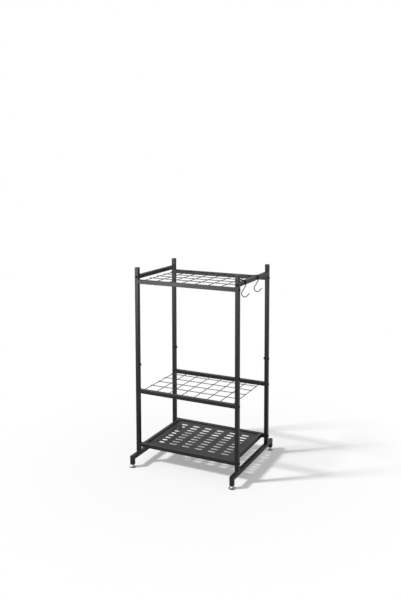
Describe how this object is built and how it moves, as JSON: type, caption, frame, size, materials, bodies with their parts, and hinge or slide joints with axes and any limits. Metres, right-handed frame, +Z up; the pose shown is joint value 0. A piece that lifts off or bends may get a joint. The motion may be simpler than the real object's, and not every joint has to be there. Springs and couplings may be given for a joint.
{
  "type": "freestanding garden tool rack",
  "caption": "Tall steel tube rack with two wire grids that hold long tool handles upright, a slotted bottom shelf, wire hooks on one side and screw-levelled round feet.",
  "frame": {"origin": "on the floor under the feet, midway between the four posts", "axes": "+Z up, the front faces -Y, +X to the right seen from the front; the hooks are on the +X side"},
  "size_m": [0.6704, 0.598, 1.131],
  "materials": {
    "black_powder_coat": "satin black powder coat",
    "bolt_black": "black oxide",
    "sleeve_steel": "plain steel tube, hidden inside the post",
    "black_plastic": "matt black",
    "foot_zinc": "bright zinc plate",
    "foot_rubber": "matt dark grey",
    "hook_black": "satin black coated wire"
  },
  "bodies": {
    "rack": {"foot_inserts": "black_plastic", "mid_back_rail": "black_powder_coat", "mid_front_rail": "black_powder_coat", "mid_grid_cross_wires": "black_powder_coat", "mid_grid_depth_wires": "black_powder_coat", "mid_rail_bolts": "bolt_black", "post_cap_back_left": "black_plastic", "post_cap_back_right": "black_plastic", "post_cap_front_left": "black_plastic", "post_cap_front_right": "black_plastic", "post_joint_bolts": "bolt_black", "post_joint_nuts": "bolt_black", "post_lower_back_left": "black_powder_coat", "post_lower_back_right": "black_powder_coat", "post_lower_front_left": "black_powder_coat", "post_lower_front_right": "black_powder_coat", "post_sleeve_back_left": "sleeve_steel", "post_sleeve_back_right": "sleeve_steel", "post_sleeve_front_left": "sleeve_steel", "post_sleeve_front_right": "sleeve_steel", "post_upper_back_left": "black_powder_coat", "post_upper_back_right": "black_powder_coat", "post_upper_front_left": "black_powder_coat", "post_upper_front_right": "black_powder_coat", "rail_end_nuts": "bolt_black", "runner_end_back_left": "black_powder_coat", "runner_end_back_right": "black_powder_coat", "runner_end_front_left": "black_powder_coat", "runner_end_front_right": "black_powder_coat", "runner_left": "black_powder_coat", "runner_right": "black_powder_coat", "shelf_back_rail": "black_powder_coat", "shelf_front_rail": "black_powder_coat", "shelf_panel": "black_powder_coat", "shelf_rail_bolts": "bolt_black", "shelf_side_rail_left": "black_powder_coat", "shelf_side_rail_right": "black_powder_coat", "side_rail_bolts": "bolt_black", "top_back_rail": "black_powder_coat", "top_front_rail": "black_powder_coat", "top_grid_cross_wires": "black_powder_coat", "top_grid_depth_wires": "black_powder_coat", "top_rail_bolts": "bolt_black", "top_side_rail_left": "black_powder_coat", "top_side_rail_right": "black_powder_coat"},
    "foot_base_body_back_left": {"foot_disc_back_left": "foot_zinc", "foot_pad_back_left": "foot_rubber"},
    "foot_base_body_back_right": {"foot_disc_back_right": "foot_zinc", "foot_pad_back_right": "foot_rubber"},
    "foot_base_body_front_left": {"foot_disc_front_left": "foot_zinc", "foot_pad_front_left": "foot_rubber"},
    "foot_base_body_front_right": {"foot_disc_front_right": "foot_zinc", "foot_pad_front_right": "foot_rubber"},
    "foot_stud_body_back_left": {"foot_stud_back_left": "foot_zinc"},
    "foot_stud_body_back_right": {"foot_stud_back_right": "foot_zinc"},
    "foot_stud_body_front_left": {"foot_stud_front_left": "foot_zinc"},
    "foot_stud_body_front_right": {"foot_stud_front_right": "foot_zinc"},
    "hook_back_body": {"hook_back": "hook_black"},
    "hook_front_body": {"hook_front": "hook_black"}
  },
  "joints": [
    {"name": "foot_height_front_left", "type": "slide", "parent": "rack", "child": "foot_base_body_front_left", "axis": [0, 0, -1], "range_m": [0, 0.012]},
    {"name": "foot_turn_front_left", "type": "hinge", "parent": "foot_base_body_front_left", "child": "foot_stud_body_front_left", "pos_m": [-0.308, -0.28, 0.0125], "axis": [0, 0, -1], "range_deg": [0, 3457]},
    {"name": "foot_height_front_right", "type": "slide", "parent": "rack", "child": "foot_base_body_front_right", "axis": [0, 0, -1], "range_m": [0, 0.012]},
    {"name": "foot_turn_front_right", "type": "hinge", "parent": "foot_base_body_front_right", "child": "foot_stud_body_front_right", "pos_m": [0.308, -0.28, 0.0125], "axis": [0, 0, -1], "range_deg": [0, 3457]},
    {"name": "foot_height_back_left", "type": "slide", "parent": "rack", "child": "foot_base_body_back_left", "axis": [0, 0, -1], "range_m": [0, 0.012]},
    {"name": "foot_turn_back_left", "type": "hinge", "parent": "foot_base_body_back_left", "child": "foot_stud_body_back_left", "pos_m": [-0.308, 0.28, 0.0125], "axis": [0, 0, -1], "range_deg": [0, 3457]},
    {"name": "foot_height_back_right", "type": "slide", "parent": "rack", "child": "foot_base_body_back_right", "axis": [0, 0, -1], "range_m": [0, 0.012]},
    {"name": "foot_turn_back_right", "type": "hinge", "parent": "foot_base_body_back_right", "child": "foot_stud_body_back_right", "pos_m": [0.308, 0.28, 0.0125], "axis": [0, 0, -1], "range_deg": [0, 3457]},
    {"name": "hook_front_slide", "type": "slide", "parent": "rack", "child": "hook_front_body", "axis": [0, 1, 0], "range_m": [-0.062, 0.084]},
    {"name": "hook_back_slide", "type": "slide", "parent": "rack", "child": "hook_back_body", "axis": [0, 1, 0], "range_m": [-0.084, 0.155]}
  ],
  "couplings": [
    {"joint": "foot_turn_front_left", "follows": "foot_height_front_left", "rad_per_m": 5026.5},
    {"joint": "foot_turn_front_right", "follows": "foot_height_front_right", "rad_per_m": 5026.5},
    {"joint": "foot_turn_back_left", "follows": "foot_height_back_left", "rad_per_m": 5026.5},
    {"joint": "foot_turn_back_right", "follows": "foot_height_back_right", "rad_per_m": 5026.5}
  ]
}
